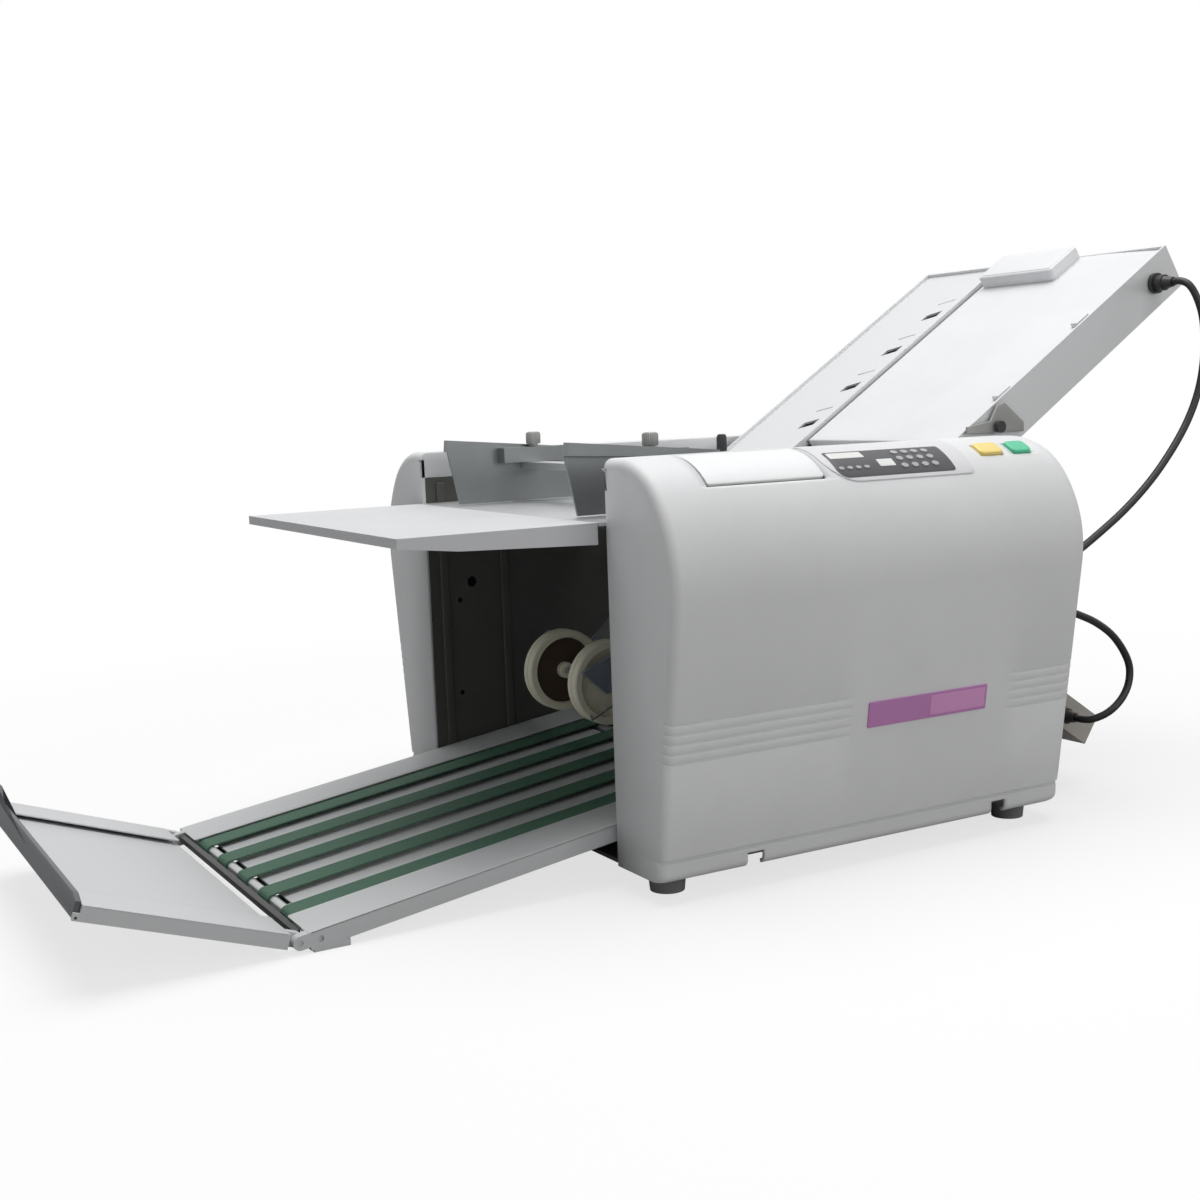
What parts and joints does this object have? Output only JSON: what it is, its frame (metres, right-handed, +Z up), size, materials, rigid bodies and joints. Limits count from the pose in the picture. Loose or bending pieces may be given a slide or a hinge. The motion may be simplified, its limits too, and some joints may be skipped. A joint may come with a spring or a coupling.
{
  "type": "paper folding machine",
  "caption": "Desktop paper folding machine with a hinged feed table, geared fold rollers, buckle fold plates with cables, stacker wheels and a folding exit conveyor.",
  "frame": {"origin": "on the table surface under the middle of the machine's length and width", "axes": "x runs along the paper path, from the folding conveyor at -x to the fold plates at +x; y runs across it, away from the control side; z is up"},
  "size_m": [1.0031, 0.51, 0.4887],
  "materials": {
    "dark_steel": "satin",
    "black_rubber": "matte",
    "grey_paint": "satin",
    "bright_steel": "brushed",
    "light_plastic": "fine texture",
    "grey_plastic": "satin",
    "dark_plastic": "satin",
    "key_plastic": "satin",
    "board_green": "satin",
    "white_plastic": "satin",
    "yellow_plastic": "gloss",
    "green_plastic": "gloss",
    "black_plastic": "satin",
    "motor_paint": "satin",
    "aluminium": "machined",
    "brass": "sintered",
    "roller_rubber": "ground",
    "pad_rubber": "matte",
    "guide_aluminium": "brushed",
    "plate_paint": "satin",
    "beige_paint": "satin",
    "conveyor_plastic": "satin",
    "green_belt": "matte",
    "slate_plastic": "satin",
    "cream_plastic": "satin",
    "black_cable": "satin"
  },
  "bodies": {
    "chassis": {"base_plate": "dark_steel", "rubber_feet": "black_rubber", "front_frame": "grey_paint", "rear_frame": "grey_paint", "tie_bars": "bright_steel", "front_cover": "light_plastic", "rear_cover": "light_plastic", "upper_end_panel": "grey_paint", "lower_end_panel": "grey_paint", "feed_bed": "bright_steel", "clamp_bar": "bright_steel", "control_bezel": "grey_plastic", "keypad": "dark_plastic", "keypad_keys": "key_plastic", "circuit_board": "board_green", "switch_shelf": "dark_plastic", "control_well": "grey_plastic", "power_inlet": "black_plastic", "cable_sockets": "black_plastic", "drive_motor": "motor_paint", "drive_belt": "black_rubber", "feed_belt": "black_rubber", "conveyor_drive_belt": "black_rubber", "shaft_bushes": "brass", "separator_block": "bright_steel", "entry_guide": "bright_steel", "exit_guides": "bright_steel", "fold_plate_1": "plate_paint", "plate_1_cover": "white_plastic", "plate_lock_knobs": "black_plastic", "fold_plate_2": "beige_paint", "upper_cable": "black_cable", "lower_cable": "black_cable"},
    "panel_lid": {"panel_lid": "white_plastic"},
    "stop_button": {"stop_button": "yellow_plastic"},
    "start_button": {"start_button": "green_plastic"},
    "power_rocker": {"power_rocker": "black_plastic"},
    "motor_pulley": {"motor_pulley": "aluminium"},
    "fold_roller_1": {"fold_roller_1": "roller_rubber"},
    "fold_roller_2": {"fold_roller_2": "roller_rubber"},
    "fold_roller_3": {"fold_roller_3": "roller_rubber"},
    "fold_roller_4": {"fold_roller_4": "roller_rubber"},
    "feed_roller": {"feed_roller": "roller_rubber"},
    "separator_pad": {"separator_pad": "pad_rubber"},
    "separator_knob": {"separator_knob": "black_plastic"},
    "feed_table": {"feed_table": "light_plastic"},
    "front_paper_guide": {"front_paper_guide": "guide_aluminium"},
    "rear_paper_guide": {"rear_paper_guide": "guide_aluminium"},
    "front_clamp_screw": {"front_clamp_screw": "grey_plastic"},
    "rear_clamp_screw": {"rear_clamp_screw": "grey_plastic"},
    "fold_stop_1": {"fold_stop_1": "bright_steel"},
    "fold_stop_2": {"fold_stop_2": "bright_steel"},
    "conveyor_section": {"conveyor_section": "conveyor_plastic", "conveyor_belts": "green_belt"},
    "conveyor_roller": {"conveyor_roller": "bright_steel"},
    "conveyor_end_roller": {"conveyor_end_roller": "bright_steel"},
    "outer_section": {"outer_section": "conveyor_plastic"},
    "end_stop": {"end_stop": "slate_plastic"},
    "stacker_arms": {"stacker_arms": "grey_paint"},
    "stacker_wheels": {"stacker_wheels": "cream_plastic"}
  },
  "joints": [
    {"name": "fold_roller_2_spin", "type": "hinge", "parent": "chassis", "child": "fold_roller_2", "pos_m": [0.15307, 0, 0.22765], "axis": [0, 1, 0], "continuous": true},
    {"name": "fold_roller_1_spin", "type": "hinge", "parent": "chassis", "child": "fold_roller_1", "pos_m": [0.14889, 0, 0.25735], "axis": [0, 1, 0], "continuous": true},
    {"name": "fold_roller_3_spin", "type": "hinge", "parent": "chassis", "child": "fold_roller_3", "pos_m": [0.13629, 0, 0.20278], "axis": [0, 1, 0], "continuous": true},
    {"name": "fold_roller_4_spin", "type": "hinge", "parent": "chassis", "child": "fold_roller_4", "pos_m": [0.15557, 0, 0.17979], "axis": [0, 1, 0], "continuous": true},
    {"name": "feed_roller_spin", "type": "hinge", "parent": "chassis", "child": "feed_roller", "pos_m": [0.08398, 0, 0.255], "axis": [0, 1, 0], "continuous": true},
    {"name": "motor_pulley_spin", "type": "hinge", "parent": "chassis", "child": "motor_pulley", "pos_m": [0.18398, 0, 0.08], "axis": [0, 1, 0], "continuous": true},
    {"name": "conveyor_roller_spin", "type": "hinge", "parent": "chassis", "child": "conveyor_roller", "pos_m": [0.02399, 0, 0.06131], "axis": [0, 1, 0], "continuous": true},
    {"name": "conveyor_end_roller_spin", "type": "hinge", "parent": "conveyor_section", "child": "conveyor_end_roller", "pos_m": [-0.34222, 0, 0.00853], "axis": [0, 1, 0], "continuous": true},
    {"name": "feed_table_hinge", "type": "hinge", "parent": "chassis", "child": "feed_table", "pos_m": [-0.11502, 0, 0.261], "axis": [0, 1, 0], "range_deg": [-90, 0]},
    {"name": "front_guide_slide", "type": "slide", "parent": "chassis", "child": "front_paper_guide", "axis": [0, -1, 0], "range_m": [-0.06, 0.045]},
    {"name": "rear_guide_slide", "type": "slide", "parent": "chassis", "child": "rear_paper_guide", "axis": [0, 1, 0], "range_m": [-0.06, 0.045]},
    {"name": "front_clamp_turn", "type": "hinge", "parent": "front_paper_guide", "child": "front_clamp_screw", "pos_m": [-0.03102, -0.099, 0], "axis": [0, 0, 1], "range_deg": [0, 180]},
    {"name": "rear_clamp_turn", "type": "hinge", "parent": "rear_paper_guide", "child": "rear_clamp_screw", "pos_m": [-0.03102, 0.099, 0], "axis": [0, 0, 1], "range_deg": [0, 180]},
    {"name": "separator_knob_turn", "type": "hinge", "parent": "chassis", "child": "separator_knob", "pos_m": [0.10298, 0, 0], "axis": [0, 0, 1], "range_deg": [0, 300]},
    {"name": "separator_pad_slide", "type": "slide", "parent": "chassis", "child": "separator_pad", "axis": [0, 0, 1], "range_m": [0, 0.003]},
    {"name": "fold_stop_1_slide", "type": "slide", "parent": "chassis", "child": "fold_stop_1", "axis": [0.8387, 0, 0.5446], "range_m": [-0.14, 0.06]},
    {"name": "fold_stop_2_slide", "type": "slide", "parent": "chassis", "child": "fold_stop_2", "axis": [0.829, 0, -0.5592], "range_m": [-0.11, 0.09]},
    {"name": "conveyor_tilt", "type": "hinge", "parent": "chassis", "child": "conveyor_section", "pos_m": [0.02399, 0, 0.06131], "axis": [0, 1, 0], "range_deg": [0, 6]},
    {"name": "outer_section_fold", "type": "hinge", "parent": "conveyor_section", "child": "outer_section", "pos_m": [-0.35631, 0, 0.00812], "axis": [0, 1, 0], "range_deg": [-19, 70]},
    {"name": "end_stop_fold", "type": "hinge", "parent": "outer_section", "child": "end_stop", "pos_m": [-0.49932, 0, 0.0545], "axis": [0, -1, 0], "range_deg": [0, 90]},
    {"name": "stacker_arm_lift", "type": "hinge", "parent": "chassis", "child": "stacker_arms", "pos_m": [0.01098, 0, 0.142], "axis": [0, 1, 0], "range_deg": [-42, 8]},
    {"name": "stacker_wheel_spin", "type": "hinge", "parent": "stacker_arms", "child": "stacker_wheels", "pos_m": [-0.04202, 0, 0.131], "axis": [0, 1, 0], "continuous": true},
    {"name": "stop_button_press", "type": "slide", "parent": "chassis", "child": "stop_button", "axis": [0, 0.5, -0.866], "range_m": [0, 0.002], "stiffness_N_per_m": 400},
    {"name": "start_button_press", "type": "slide", "parent": "chassis", "child": "start_button", "axis": [0, 0.5, -0.866], "range_m": [0, 0.002], "stiffness_N_per_m": 400},
    {"name": "power_rocker_tilt", "type": "hinge", "parent": "chassis", "child": "power_rocker", "pos_m": [0.28598, 0, 0.081], "axis": [0, 1, 0], "range_deg": [-8, 8]},
    {"name": "panel_lid_hinge", "type": "hinge", "parent": "chassis", "child": "panel_lid", "pos_m": [0.08898, -0.17905, 0.3181], "axis": [-1, 0, 0], "range_deg": [0, 100]}
  ],
  "couplings": [
    {"joint": "fold_roller_1_spin", "follows": "fold_roller_2_spin", "ratio": -1},
    {"joint": "fold_roller_3_spin", "follows": "fold_roller_2_spin", "ratio": -1},
    {"joint": "fold_roller_4_spin", "follows": "fold_roller_2_spin", "ratio": 1},
    {"joint": "feed_roller_spin", "follows": "fold_roller_2_spin", "ratio": 1},
    {"joint": "motor_pulley_spin", "follows": "fold_roller_2_spin", "ratio": 1.5556},
    {"joint": "conveyor_roller_spin", "follows": "fold_roller_2_spin", "ratio": -1},
    {"joint": "conveyor_end_roller_spin", "follows": "fold_roller_2_spin", "ratio": -1},
    {"joint": "separator_knob_turn", "follows": "separator_pad_slide", "rad_per_m": 1745.3}
  ]
}
